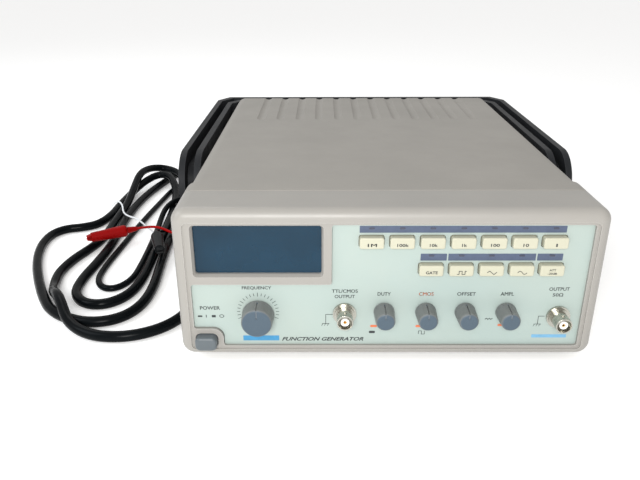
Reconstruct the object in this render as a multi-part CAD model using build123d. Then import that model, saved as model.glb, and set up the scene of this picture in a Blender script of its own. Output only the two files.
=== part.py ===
from build123d import *
import math
import os

# A bench function generator in a two-part plastic case with a front bezel, a swinging carry handle,
# five knobs, twelve keys, BNC sockets, and its mains cord and test lead lying beside it.
# Millimetres. +X is right as seen from the front, +Y is towards the back, +Z is up.
# The origin is on the table, midway between the small knobs' faces and the back of the handle.

# ---- driving dimensions: the case ----
CASE_WIDTH = 248.0
CASE_HEIGHT = 95.0
CASE_DEPTH = 311.0
FOOT_HEIGHT = 5.0
WALL = 2.5
CORNER = 8.0                                  # radius of the case's long edges
FRONT = -165.0                                # plane of the bezel's front face
BACK = FRONT + CASE_DEPTH
FLOOR = FOOT_HEIGHT                           # underside of the case
TOP = FOOT_HEIGHT + CASE_HEIGHT
MID = (FLOOR + TOP) / 2                       # the covers meet at this height
BEZEL_DEPTH = 33.0
BEZEL_BACK = FRONT + BEZEL_DEPTH
BEZEL_WALL = 3.0
SHOULDER = FRONT + 49.5                       # behind this plane the sides step in
SIDE_STEP = 2.0
COVER_WIDTH = CASE_WIDTH - 2 * SIDE_STEP
FIT = 0.25                                    # gap between moulded pieces

# ---- driving dimensions: the front ----
LIP_STEP = 1.0                                # inner frame lies this far behind the outer frame
PANEL_FACE = FRONT + 3.0
PANEL_THICK = 2.0
PANEL_BACK = PANEL_FACE + PANEL_THICK
PANEL_LEFT, PANEL_RIGHT = -115.3, 115.2       # visible panel
PANEL_LOW, PANEL_HIGH = 11.7, 90.5
DISPLAY_RIGHT, DISPLAY_LOW = -33.0, 53.0      # bezel block round the display
WINDOW = (-112.2, -38.8, 59.0, 89.2)          # left, right, low, high
POWER_X, POWER_Z = -108.2, 15.3
POWER_SIZE = (13.0, 9.0)
POWER_PAD = (-98.0, 23.4)                     # right and upper sides of the pad round the power button
PAD_CORNER = 6.5
KEY_SIZE = (13.9, 6.9)
KEY_PITCH = 17.3
KEY_X0 = -10.4
KEY_ROWS = (79.9, 62.7)
KEY_NAMES = (
    ("range_1m", "range_100k", "range_10k", "range_1k", "range_100", "range_10", "range_1"),
    ("gate", "square", "triangle", "sine", "attenuator"),
)
KEY_TRAVEL = 0.8
LAMP_ROWS = (87.8, 70.9)
KNOB_Z = 34.5
KNOBS = {"duty": -1.8, "cmos": 22.9, "offset": 46.3, "amplitude": 70.5}
KNOB_RADIUS, KNOB_FACE = 6.15, FRONT - 11.0
DIAL_X, DIAL_Z = -76.7, 32.5
DIAL_RADIUS, DIAL_FACE = 9.6, FRONT - 9.0
KNOB_GAP = 1.0                                # between a knob and the panel
PULL_TRAVEL = 3.0
SHAFT_RADIUS = 3.0
BUSH_RADIUS = 3.5
SLIDER_FRONT = PANEL_BACK + 2.2 + PULL_TRAVEL + 0.6
BNC_AT = {"ttl": (-25.2, 33.0), "output": (102.0, 31.0)}
BNC_BARREL = 4.8
BNC_REACH = 12.0

# ---- driving dimensions: the handle ----
PIVOT_Y, PIVOT_Z = FRONT + 142.0, 71.0
HUB_RADIUS = 24.0
ARM_IN, ARM_OUT = 128.0, 144.0
GRIP_IN, GRIP_OUT = FRONT + 322.0, FRONT + 341.0
ARM_TOP, ARM_LOW = 95.0, 67.0
ELBOW = 10.0                                  # the handle's corners are cut off by this much in X
CHANNEL_DEPTH = 11.0
RIM = 4.6                                     # walls each side of the handle's channel
PIVOT_RADIUS = 8.0

# ---- driving dimensions: the back, the cord and the lead ----
REAR_FACE = BACK - 2.0
REAR_THICK = 2.0
INLET_X, INLET_Z = -80.0, 42.0
INLET_NOSE = (22.6, 15.6)
SYNC_X, SYNC_Z = -35.0, 42.0
CORD_RADIUS = 3.75
LEAD_RADIUS = 2.5
WIRE_RADIUS = 1.1


# ---- helpers ----
def block(x0, x1, y0, y1, z0, z1):
    """A box between two corners."""
    return Pos((x0 + x1) / 2, (y0 + y1) / 2, (z0 + z1) / 2) * Box(x1 - x0, y1 - y0, z1 - z0)


def along_y(sketch, y0, y1):
    """A sketch drawn in X and Z, stretched from y0 to y1."""
    return extrude(Plane.XZ.offset(-y0) * sketch, amount=-(y1 - y0))


def along_x(sketch, x0, x1):
    """A sketch drawn in Y and Z, stretched from x0 to x1."""
    return extrude(Plane.YZ.offset(x0) * sketch, amount=x1 - x0)


def along_z(sketch, z0, z1):
    """A sketch drawn in X and Y, stretched from z0 to z1."""
    return extrude(Plane.XY.offset(z0) * sketch, amount=z1 - z0)


def rod_y(x, z, radius, y0, y1):
    """A round bar along Y."""
    return along_y(Pos(x, z) * Circle(radius), y0, y1)


def case_section(width, height, radius):
    """The case's rounded outline in X and Z."""
    return Pos(0, MID) * RectangleRounded(width, height, radius)


def edges_at(part, axis, value, tolerance=0.02):
    """The edges that lie wholly in one plane across an axis."""
    return part.edges().filter_by_position(axis, value - tolerance, value + tolerance)


def tube(points, radius, name, least):
    """A round cord through hand-set points: straight runs joined by tangent arcs as large as they allow."""
    route = [Vector(*p) for p in points]
    radii = []
    for before, here, after in zip(route, route[1:], route[2:]):
        run_in, run_out = here - before, after - here
        turn = math.radians(run_in.get_angle(run_out))
        radii.append(0.45 * min(run_in.length, run_out.length) / math.tan(turn / 2))
    print(name, "radii", [round(r) for r in radii], "least allowed", round(least, 1))
    path = FilletPolyline(*points, radius=radii)
    start = Plane(origin=path @ 0, z_dir=path % 0)
    solid = sweep(start * Circle(radius), path=path)
    share = solid.volume / (math.pi * radius**2 * path.length)
    print(name, "length", round(path.length), "volume share", round(share, 4))
    return solid


def save(part, node):
    """Writes one piece or one group of like pieces."""
    export_step(part, f"parts/{node}.step")


os.makedirs("parts", exist_ok=True)


# ---- front bezel ----
def make_bezel():
    shell = along_y(case_section(CASE_WIDTH, CASE_HEIGHT, CORNER), FRONT, BEZEL_BACK)
    shell = fillet(edges_at(shell, Axis.Y, FRONT), 6.0)
    shell = chamfer(edges_at(shell, Axis.Y, BEZEL_BACK), 0.7)
    hollow = case_section(CASE_WIDTH - 2 * BEZEL_WALL, CASE_HEIGHT - 2 * BEZEL_WALL, CORNER - BEZEL_WALL)
    shell -= along_y(hollow, PANEL_FACE, BEZEL_BACK + 1)
    lip = Pos(0, (9.6 + 92.0) / 2) * RectangleRounded(235.0, 92.0 - 9.6, 3.0)
    shell -= along_y(lip, FRONT - 1, FRONT + LIP_STEP)
    view = Rectangle(PANEL_RIGHT - PANEL_LEFT, PANEL_HIGH - PANEL_LOW)
    opening = Pos((PANEL_LEFT + PANEL_RIGHT) / 2, (PANEL_LOW + PANEL_HIGH) / 2) * view
    opening -= display_block(0)
    opening -= power_pad(0)
    others = opening.vertices().sort_by_distance((*POWER_PAD, 0))[1:]
    opening = fillet(others, 1.6)
    opening = fillet(opening.vertices().sort_by_distance((*POWER_PAD, 0))[0], PAD_CORNER)
    shell -= along_y(opening, FRONT - 1, PANEL_FACE + 1)
    shell += along_y(display_block(-FIT), FRONT + LIP_STEP, PANEL_BACK)
    shell += along_y(rounded_pad(-FIT), FRONT + LIP_STEP, PANEL_BACK)
    left, right, low, high = WINDOW
    middle = Pos((left + right) / 2, (low + high) / 2)
    mouth = middle * RectangleRounded(right - left, high - low, 1.5)
    shell -= along_y(mouth, FRONT - 1, PANEL_BACK + 1)
    flare = middle * RectangleRounded(right - left + 2.4, high - low + 2.4, 2.5)
    flare_front = Plane.XZ.offset(-(FRONT + LIP_STEP)) * flare
    flare_back = Plane.XZ.offset(-(FRONT + LIP_STEP + 2.2)) * mouth
    shell -= loft([flare_front, flare_back])
    wide, tall = POWER_SIZE
    hole = Pos(POWER_X, POWER_Z) * RectangleRounded(wide + 0.8, tall + 0.8, 3.5)
    shell -= along_y(hole, FRONT - 1, PANEL_BACK + 1)
    return shell


def display_block(grow):
    """The bezel's block round the display, down and to the left as far as the frame."""
    left, right = PANEL_LEFT - 2, DISPLAY_RIGHT + grow
    low, high = DISPLAY_LOW - grow, PANEL_HIGH + 2
    return Pos((left + right) / 2, (low + high) / 2) * Rectangle(right - left, high - low)


def power_pad(grow):
    """The pad in the bezel's lower left corner, before its free corner is rounded."""
    left, low = PANEL_LEFT - 2, PANEL_LOW - 2
    right, high = POWER_PAD[0] + grow, POWER_PAD[1] + grow
    return Pos((left + right) / 2, (low + high) / 2) * Rectangle(right - left, high - low)


def rounded_pad(grow):
    pad = power_pad(grow)
    return fillet(pad.vertices().sort_by_distance((*POWER_PAD, 0))[0], PAD_CORNER)


# ---- front panel: one printed plate behind the bezel's opening ----
def make_panel():
    inside_w = CASE_WIDTH - 2 * BEZEL_WALL - 2 * FIT
    inside_h = CASE_HEIGHT - 2 * BEZEL_WALL - 2 * FIT
    outline = case_section(inside_w, inside_h, CORNER - BEZEL_WALL)
    reach = 60.0
    outline -= Pos(DISPLAY_RIGHT + FIT - reach, DISPLAY_LOW - FIT + reach) * Rectangle(2 * reach, 2 * reach)
    outline -= rounded_pad(FIT)
    outline -= Pos(-reach + POWER_X + 4, 0) * Rectangle(2 * reach, 2 * (PANEL_LOW + 4))
    for x, z in key_places():
        outline -= Pos(x, z) * RectangleRounded(KEY_SIZE[0] + 0.9, KEY_SIZE[1] + 0.9, 1.6)
    for x, z in lamp_places():
        outline -= Pos(x, z) * SlotOverall(3.6, 1.5)
    for x, z in pot_places():
        outline -= Pos(x, z) * Circle(BUSH_RADIUS + 0.1)
    for x, z in BNC_AT.values():
        outline -= Pos(x, z) * Circle(BNC_BARREL + 0.1)
    return along_y(outline, PANEL_FACE, PANEL_BACK)


def key_places():
    places = []
    for row, names in enumerate(KEY_NAMES):
        first = len(KEY_NAMES[0]) - len(names)
        places += [(KEY_X0 + KEY_PITCH * (first + i), KEY_ROWS[row]) for i in range(len(names))]
    return places


def lamp_places():
    return [(x, LAMP_ROWS[0] if z == KEY_ROWS[0] else LAMP_ROWS[1]) for x, z in key_places()]


def pot_places():
    return [(x, KNOB_Z) for x in KNOBS.values()] + [(DIAL_X, DIAL_Z)]


# ---- display: smoked lens in front of six digit modules ----
def make_lens():
    left, right, low, high = WINDOW
    middle = Pos((left + right) / 2, (low + high) / 2)
    plate = middle * RectangleRounded(right - left + 5, high - low + 5, 2.0)
    return along_y(plate, PANEL_BACK + 0.05, PANEL_BACK + 2.5)


def make_digits():
    digits = []
    count, pitch, wide, tall = 6, 11.6, 11.2, 17.0
    centre_x, centre_z = (WINDOW[0] + WINDOW[1]) / 2, (WINDOW[2] + WINDOW[3]) / 2
    for i in range(count):
        x = centre_x + (i - (count - 1) / 2) * pitch
        low, high = centre_z - tall / 2, centre_z + tall / 2
        digits.append(block(x - wide / 2, x + wide / 2, BOARD_Y - 7.0, BOARD_Y, low, high))
    return Compound(digits)


# ---- keys, their switches and the indicator lamps ----
BOARD_Y = FRONT + 14.6                        # front face of the board behind the panel
SWITCH_FRONT = BOARD_Y - 4.6


def make_key(x, z):
    wide, tall = KEY_SIZE
    cap = along_y(Pos(x, z) * RectangleRounded(wide, tall, 1.3), FRONT - 1.0, PANEL_BACK + 0.4)
    cap = fillet(edges_at(cap, Axis.Y, FRONT - 1.0), 0.8)
    flange = Pos(x, z) * RectangleRounded(wide + 2.4, tall + 2.0, 1.3)
    flange = along_y(flange, PANEL_BACK + 0.2, PANEL_BACK + 1.4)
    stem = rod_y(x, z, 1.7, PANEL_BACK + 1.0, SWITCH_FRONT - KEY_TRAVEL - 0.1)
    return cap + flange + stem


def key_switches():
    return [block(x - 3, x + 3, SWITCH_FRONT, BOARD_Y, z - 3, z + 3) for x, z in key_places()]


def make_lamps():
    lamps = []
    for x, z in lamp_places():
        lens = along_y(Pos(x, z) * SlotOverall(3.3, 1.2), PANEL_FACE - 0.3, PANEL_FACE + 5)
        lamps.append(lens + block(x - 1.6, x + 1.6, PANEL_FACE + 4.5, BOARD_Y, z - 0.6, z + 0.6))
    return Compound(lamps)


# ---- knobs, shafts, potentiometers and nuts ----
def make_knob(x, z, radius, face, flutes, skirt):
    back = PANEL_FACE - KNOB_GAP
    slim = radius - 0.55
    root = Plane.XZ.offset(-back) * Pos(x, z) * Circle(radius)
    body = loft([root, Plane.XZ.offset(-face) * Pos(x, z) * Circle(slim)])
    body = fillet(edges_at(body, Axis.Y, face), 1.5)
    for i in range(flutes):
        angle = 2 * math.pi * (i + 0.5) / flutes
        fx, fz = x + (radius + 0.35) * math.cos(angle), z + (radius + 0.35) * math.sin(angle)
        body -= rod_y(fx, fz, 0.6, face - 1, back - 2.2)
    body -= block(x - 0.4, x + 0.4, face - 1, back - 2.2, z + slim - 0.55, z + radius + 1)
    body -= block(x - 0.4, x + 0.4, face - 1, face + 0.35, z + slim * 0.35, z + radius + 1)
    body -= rod_y(x, z, SHAFT_RADIUS + 0.05, face + 2.5, back + 1)
    body -= rod_y(x, z, skirt, back - 2.2, back + 1)
    return body


def make_shaft(x, z, face):
    return rod_y(x, z, SHAFT_RADIUS, face + 2.6, SLIDER_FRONT + 3.6)


def make_potentiometers():
    """Five potentiometers; the hollow behind the bush holds the shaft's end and, in four, the pull switch."""
    pots = []
    for x, z in pot_places():
        size = 8.0
        case = block(x - size, x + size, PANEL_BACK + 0.6, PANEL_BACK + 15, z - size, z + size)
        bush = rod_y(x, z, BUSH_RADIUS, PANEL_FACE - 2.0, PANEL_BACK + 1)
        pot = case + bush - rod_y(x, z, SHAFT_RADIUS + 0.05, PANEL_FACE - 4, PANEL_BACK + 5)
        pots.append(pot - rod_y(x, z, 5.5, PANEL_BACK + 2.2, PANEL_BACK + 14))
    return Compound(pots)


def make_slider(x, z):
    """The pull switch's slider: the shaft turns in it and draws it forward."""
    cup = rod_y(x, z, 4.6, SLIDER_FRONT, SLIDER_FRONT + 6)
    return cup - rod_y(x, z, SHAFT_RADIUS + 0.06, SLIDER_FRONT - 1, SLIDER_FRONT + 4)


def make_panel_nuts():
    nuts = []
    for x, z in pot_places():
        ring = along_y(Pos(x, z) * RegularPolygon(4.9, 6), PANEL_FACE - 1.5, PANEL_FACE)
        nuts.append(ring - rod_y(x, z, BUSH_RADIUS + 0.02, PANEL_FACE - 3, PANEL_FACE + 1))
    for x, z in BNC_AT.values():
        ring = along_y(Pos(x, z) * RegularPolygon(7.6, 6), PANEL_BACK, PANEL_BACK + 2.2)
        nuts.append(ring - rod_y(x, z, BNC_BARREL - 0.03, PANEL_FACE, PANEL_BACK + 4))
    behind = REAR_FACE - REAR_THICK
    ring = along_y(Pos(SYNC_X, SYNC_Z) * RegularPolygon(7.6, 6), behind - 2.2, behind)
    nuts.append(ring - rod_y(SYNC_X, SYNC_Z, BNC_BARREL - 0.03, BACK - 20, BACK))
    return Compound(nuts)


# ---- BNC sockets: drawn pointing along -Y from a panel face, the rear one turned round ----
def bnc_shell(x, z, face):
    barrel = rod_y(x, z, BNC_BARREL, face - BNC_REACH, face)
    barrel = fillet(edges_at(barrel, Axis.Y, face - BNC_REACH), 0.3)
    flange = rod_y(x, z, 7.0, face - 1.6, face)
    collar = rod_y(x, z, 5.9, face - 3.0, face - 1.5)
    thread = rod_y(x, z, BNC_BARREL - 0.05, face - 1, face + 11)
    body = barrel + flange + collar + thread
    lug_y = face - BNC_REACH + 4.2
    lug = Pos(x, lug_y, z) * Cylinder(1.0, 2 * 5.5)
    body += lug
    body -= rod_y(x, z, 4.1, face - BNC_REACH - 1, face - BNC_REACH + 5.0)
    body -= rod_y(x, z, 2.5, face - BNC_REACH + 4.0, face + 12)
    return body


def bnc_insulator(x, z, face):
    plug = rod_y(x, z, 2.45, face - BNC_REACH + 1.0, face + 10)
    return plug - rod_y(x, z, 1.15, face - BNC_REACH - 1, face + 12)


def bnc_contact(x, z, face):
    pin = rod_y(x, z, 1.1, face - BNC_REACH + 1.6, face + 13)
    return pin - rod_y(x, z, 0.7, face - BNC_REACH, face - BNC_REACH + 6)


def at_sockets(maker):
    """The same piece at each front socket and, turned round, at the rear one."""
    front = [maker(x, z, PANEL_FACE) for x, z in BNC_AT.values()]
    rear = Pos(0, REAR_FACE, 0) * Rot(0, 0, 180) * maker(-SYNC_X, SYNC_Z, 0)
    return Compound(front + [rear])


# ---- power button and mains switch ----
POWER_TRAVEL = 3.5
SWITCH_Y = FRONT + 60.0


def make_power_button():
    """Button cap and the long rod moulded on its back, which reaches the switch."""
    wide, tall = POWER_SIZE
    cap = along_y(Pos(POWER_X, POWER_Z) * RectangleRounded(wide, tall, 3.1), FRONT - 4.5, PANEL_BACK + 3)
    cap = fillet(edges_at(cap, Axis.Y, FRONT - 4.5), 1.7)
    return cap + block(POWER_X - 2, POWER_X + 2, PANEL_BACK + 2, SWITCH_Y + 6, POWER_Z - 2, POWER_Z + 2)


def make_power_switch():
    body = block(POWER_X - 6, POWER_X + 6, SWITCH_Y, SWITCH_Y + 24, FLOOR + WALL + 0.1, POWER_Z + 6)
    deep = SWITCH_Y + 6 + POWER_TRAVEL + 0.5
    return body - block(POWER_X - 2.2, POWER_X + 2.2, SWITCH_Y - 1, deep, POWER_Z - 2.2, POWER_Z + 2.2)


# ---- case covers ----
VENT_COUNT, VENT_PITCH, VENT_WIDTH = 12, 16.65, 7.0
VENT_FRONT, VENT_DEPTH = FRONT + 216.0, 1.6
POST_PLACES = [(x, y) for x in (-110.0, 110.0) for y in (-66.0, 105.0)]
REAR_BOSSES = [(x, z) for x in (-115.0, 115.0) for z in (17.0, 88.0)]


def cover_shell():
    """Both covers as one tube, before they are parted at mid height."""
    band = along_y(case_section(CASE_WIDTH, CASE_HEIGHT, CORNER), BEZEL_BACK, SHOULDER)
    rear = along_y(case_section(COVER_WIDTH, CASE_HEIGHT, CORNER), SHOULDER, BACK)
    outer = band + rear
    outer = chamfer(edges_at(outer, Axis.Y, BEZEL_BACK), 0.7)
    outer = fillet(edges_at(outer, Axis.Y, BACK), 1.5)
    inside_high = CASE_HEIGHT - 2 * WALL
    front_hollow = case_section(CASE_WIDTH - 6, inside_high, CORNER - WALL)
    rear_hollow = case_section(COVER_WIDTH - 2 * WALL, inside_high, CORNER - WALL)
    inner = along_y(front_hollow, BEZEL_BACK - 1, SHOULDER - WALL)
    return outer - (inner + along_y(rear_hollow, SHOULDER - WALL - 1, BACK + 1))


def make_top_cover(shell):
    cover = shell & block(-200, 200, -200, 200, MID, TOP + 10)
    groove_radius = (VENT_WIDTH**2 / 4 + VENT_DEPTH**2) / (2 * VENT_DEPTH)
    axis_z = TOP - VENT_DEPTH + groove_radius
    for i in range(VENT_COUNT):
        x = (i - (VENT_COUNT - 1) / 2) * VENT_PITCH
        groove = rod_y(x, axis_z, groove_radius, VENT_FRONT + 6, BACK + 10)
        ramp = Cone(groove_radius, groove_radius - VENT_DEPTH - 0.2, 6)
        groove += Pos(x, VENT_FRONT + 3, axis_z) * Rot(90, 0, 0) * ramp
        cover -= groove
    for x, y in POST_PLACES:
        cover += along_z(Pos(x, y) * Circle(4.0), FLOOR + WALL + 0.1, TOP - 1.5)
        cover -= along_z(Pos(x, y) * Circle(1.55), FLOOR, FLOOR + WALL + 14)
    cover -= pivot_hole()
    return cover + rear_bosses(88.0)


def make_bottom_cover(shell):
    cover = shell & block(-200, 200, -200, 200, 0, MID)
    for i in range(10):
        y = 10 + 9.0 * i
        slit = Pos(0, y) * SlotOverall(120.0, 3.0)
        cover -= along_z(slit, 0, FLOOR + WALL + 1)
    for x, y in POST_PLACES:
        cover -= along_z(Pos(x, y) * Circle(1.7), 0, FLOOR + WALL + 1)
    for x, y in BOARD_POSTS:
        cover += along_z(Pos(x, y) * Circle(3.0), FLOOR + WALL - 0.5, BOARD_Z)
    return cover + rear_bosses(17.0)


def rear_bosses(height):
    """Bosses for the rear panel's screws, at one height, on the side walls."""
    bosses = [rod_y(x, z, 5.0, BACK - 20, REAR_FACE - REAR_THICK) for x, z in REAR_BOSSES if z == height]
    holes = [rod_y(x, z, 1.55, BACK - 16, BACK) for x, z in REAR_BOSSES if z == height]
    return bosses[0] + bosses[1] - holes[0] - holes[1]


def pivot_hole():
    return along_x(Pos(PIVOT_Y, PIVOT_Z) * Circle(PIVOT_RADIUS + 0.1), -130, 130)


def make_rear_panel():
    outline = case_section(COVER_WIDTH - 2 * WALL - 0.6, CASE_HEIGHT - 2 * WALL - 0.6, CORNER - WALL - 0.3)
    plate = along_y(outline, REAR_FACE - REAR_THICK, REAR_FACE)
    plate -= along_y(Pos(INLET_X, INLET_Z) * RectangleRounded(27.4, 20.2, 1.5), BACK - 20, BACK)
    plate -= rod_y(SYNC_X, SYNC_Z, BNC_BARREL + 0.1, BACK - 20, BACK)
    for x, z in REAR_BOSSES:
        plate -= rod_y(x, z, 1.7, BACK - 20, BACK)
    for column in range(8):
        slit = Pos(42 + 7.0 * column, MID) * Rot(0, 0, 90) * SlotOverall(46.0, 3.0)
        plate -= along_y(slit, BACK - 20, BACK)
    return plate


def make_feet():
    feet = []
    for x in (-92.0, 92.0):
        for y in (FRONT + 32.0, BACK - 36.0):
            foot = along_z(Pos(x, y) * Circle(8.5), 0, FOOT_HEIGHT)
            feet.append(chamfer(edges_at(foot, Axis.Z, 0), 1.0))
    return Compound(feet)


def make_screws():
    """Rear panel screws and the screws that hold the covers together."""
    screws = []
    for x, z in REAR_BOSSES:
        head = rod_y(x, z, 2.9, REAR_FACE, REAR_FACE + 1.8)
        head -= block(x - 0.4, x + 0.4, REAR_FACE + 1.0, REAR_FACE + 3, z - 2, z + 2)
        head -= block(x - 2, x + 2, REAR_FACE + 1.0, REAR_FACE + 3, z - 0.4, z + 0.4)
        screws.append(head + rod_y(x, z, 1.5, REAR_FACE - 10, REAR_FACE + 0.5))
    for x, y in POST_PLACES:
        head = along_z(Pos(x, y) * Circle(2.9), FLOOR - 1.8, FLOOR)
        head -= block(x - 0.4, x + 0.4, y - 2, y + 2, 0, FLOOR - 1.0)
        head -= block(x - 2, x + 2, y - 0.4, y + 0.4, 0, FLOOR - 1.0)
        screws.append(head + along_z(Pos(x, y) * Circle(1.5), FLOOR - 0.5, FLOOR + 14))
    return Compound(screws)


# ---- carry handle: a U of deep section with a channel along its upper edge ----
def handle_plan(out, inner, back, front_face):
    """The U in plan: outer half-width, inner half-width, back and front faces of the grip."""
    far = 60.0                                # arms run forward of the hubs and are trimmed later
    cut = ELBOW * 1.6
    outer = Polyline((-out, PIVOT_Y - far), (-out, back - cut), (-out + ELBOW, back), (out - ELBOW, back),
                     (out, back - cut), (out, PIVOT_Y - far), close=True)
    bend, end = front_face - cut + 4, PIVOT_Y - far - 1
    hole = Polyline((-inner, end), (-inner, bend), (-inner + ELBOW, front_face),
                    (inner - ELBOW, front_face), (inner, bend), (inner, end), close=True)
    return make_face(outer) - make_face(hole)


def handle_side(grow):
    """The arm's outline in Y and Z: a round hub that tapers into a level bar."""
    hub = Pos(PIVOT_Y, PIVOT_Z) * Circle(HUB_RADIUS + grow)
    taper = PIVOT_Y + 62.0
    bar = Polyline((PIVOT_Y, ARM_TOP + grow), (GRIP_OUT + 5, ARM_TOP + grow), (GRIP_OUT + 5, ARM_LOW - grow),
                   (taper, ARM_LOW - grow), (PIVOT_Y + 8, PIVOT_Z - HUB_RADIUS + 1 - grow),
                   (PIVOT_Y, PIVOT_Z), close=True)
    return hub + make_face(bar)


def make_handle():
    solid = along_z(handle_plan(ARM_OUT, ARM_IN, GRIP_OUT, GRIP_IN), 0, 120)
    solid &= along_x(handle_side(0), -160, 160)
    ring = along_z(handle_plan(ARM_OUT - RIM, ARM_IN + RIM, GRIP_OUT - RIM, GRIP_IN + RIM), 0, 120)
    skin = along_x(handle_side(1.0) - handle_side(-CHANNEL_DEPTH), -160, 160)
    upper = block(-160, 160, -200, 300, PIVOT_Z, 120)
    solid -= ring & skin & upper
    solid -= along_x(Pos(PIVOT_Y, PIVOT_Z) * Circle(PIVOT_RADIUS + 0.06), -160, 160)
    for side in (-1, 1):
        outside = sorted((side * (ARM_OUT - 3.0), side * (ARM_OUT + 1)))
        solid -= along_x(Pos(PIVOT_Y, PIVOT_Z) * Circle(15.2), *outside)
    return solid


def make_pivots():
    """Studs fixed in the case sides, each with the washer and round cap between which the handle turns."""
    studs = []
    for side in (-1, 1):
        def disc(radius, near, far):
            return along_x(Pos(PIVOT_Y, PIVOT_Z) * Circle(radius), *sorted((side * near, side * far)))
        cap = fillet(edges_at(disc(14.8, ARM_OUT - 2.6, ARM_OUT + 0.4), Axis.X, side * (ARM_OUT + 0.4)), 0.8)
        washer = disc(15.0, COVER_WIDTH / 2, ARM_IN - 0.4)
        studs.append(disc(PIVOT_RADIUS, 112.0, ARM_OUT - 2.5) + cap + washer + disc(13.0, 114.0, 119.4))
    return Compound(studs)


# ---- boards, transformer and mains inlet ----
BOARD_Z = FLOOR + 9.0
BOARD_POSTS = [(x, y) for x in (-84.0, 96.0) for y in (-110.0, 40.0)]


def make_main_board():
    """The main board and what stands on it, with the mains switch at its front, as separate solids."""
    board = block(-92, 104, -118, 48, BOARD_Z, BOARD_Z + 1.6)
    top = BOARD_Z + 1.65
    pieces = [board]
    for x, y, radius, tall in ((-60, 20, 8, 32), (-38, 20, 8, 32), (-16, 24, 6, 20), (2, 24, 6, 20)):
        pieces.append(along_z(Pos(x, y) * Circle(radius), top, top + tall))
    for x in (30, 60):
        sink = block(x - 9, x + 9, 16, 32, top, top + 28)
        for fin in range(4):
            sink -= block(x - 7 + 4 * fin, x - 5 + 4 * fin, 20, 33, top + 2, top + 29)
        pieces.append(sink)
    for i in range(5):
        pieces.append(block(-70 + 30 * i, -50 + 30 * i, -60, -52, top, top + 4))
        pieces.append(block(-66 + 30 * i, -56 + 30 * i, -30, -20, top, top + 4))
    return Compound(pieces + [make_power_switch()])


def make_front_board():
    """The board behind the keys and the display, with its key switches as separate solids."""
    return Compound([block(-117, 114, BOARD_Y, BOARD_Y + 1.6, 51, 93)] + key_switches())


def make_transformer():
    core = block(42, 104, 62, 112, FLOOR + WALL, FLOOR + WALL + 46)
    coil = block(52, 94, 50, 124, FLOOR + WALL + 8, FLOOR + WALL + 38)
    return core + coil


def make_inlet():
    """Appliance inlet: a flanged body with a deep socket and three flat pins."""
    body = along_y(Pos(INLET_X, INLET_Z) * RectangleRounded(27.0, 19.8, 1.5), REAR_FACE - 24, REAR_FACE + 0.5)
    flange = along_y(Pos(INLET_X, INLET_Z) * RectangleRounded(34.0, 26.0, 3.0), REAR_FACE, REAR_FACE + 2.5)
    wide, tall = INLET_NOSE
    socket = Pos(INLET_X, INLET_Z) * RectangleRounded(wide + 0.8, tall + 0.8, 1.5)
    shell = body + flange - along_y(socket, REAR_FACE - 16, REAR_FACE + 5)
    pins = [pin_block(dx, dz, 1.0, 2.0, REAR_FACE - 16.0, REAR_FACE - 1) for dx, dz in PIN_PLACES]
    return shell + pins[0] + pins[1] + pins[2]


PIN_PLACES = ((-7.0, -2.0), (0.0, 2.0), (7.0, -2.0))


def pin_block(dx, dz, half_w, half_h, y0, y1):
    x, z = INLET_X + dx, INLET_Z + dz
    return block(x - half_w, x + half_w, y0, y1, z - half_h, z + half_h)


# ---- mains cord: connector, cord, hank and plug ----
CONNECTOR_END = REAR_FACE + 52.0
PLUG_X, PLUG_Y, PLUG_Z = -144.0, 84.0, 11.5      # front face of the plug's body, where its relief starts
MAINS_ROUTE = [                               # from the connector, down behind the case to the hank
    (INLET_X, CONNECTOR_END, INLET_Z), (-82, 222, 37), (-96, 246, 22), (-124, 258, 8),
    (-156, 254, CORD_RADIUS), (-184, 234, CORD_RADIUS), (-202, 206, CORD_RADIUS), (-209, 178, CORD_RADIUS),
]
TAIL_ROUTE = [                                # from the hank's front, round and back beside the case
    (-218, -104, 9), (-208, -126, 5), (-189, -140, CORD_RADIUS), (-165, -142, CORD_RADIUS),
    (-144, -131.5, CORD_RADIUS), (-131.2, -111.5, CORD_RADIUS), (-130.8, -86, CORD_RADIUS),
    (-133.5, -48, CORD_RADIUS), (-138, -8, CORD_RADIUS), (PLUG_X + 2, 30, 6), (PLUG_X, PLUG_Y - 23, PLUG_Z),
]


def make_connector():
    wide, tall = INLET_NOSE
    nose = along_y(Pos(INLET_X, INLET_Z) * RectangleRounded(wide, tall, 1.5), REAR_FACE - 14, REAR_FACE + 6)
    grip = along_y(Pos(INLET_X, INLET_Z) * RectangleRounded(27.0, 20.0, 4.0), REAR_FACE + 3.0, REAR_FACE + 27)
    grip = fillet(edges_at(grip, Axis.Y, REAR_FACE + 27), 2.0)
    relief = loft([Plane.XZ.offset(-(REAR_FACE + 26)) * Pos(INLET_X, INLET_Z) * Circle(6.5),
                   Plane.XZ.offset(-CONNECTOR_END) * Pos(INLET_X, INLET_Z) * Circle(CORD_RADIUS + 0.9)])
    body = nose + grip + relief
    for dx, dz in PIN_PLACES:
        body -= pin_block(dx, dz, 1.3, 2.3, REAR_FACE - 16, REAR_FACE + 1)
    return body


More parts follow.
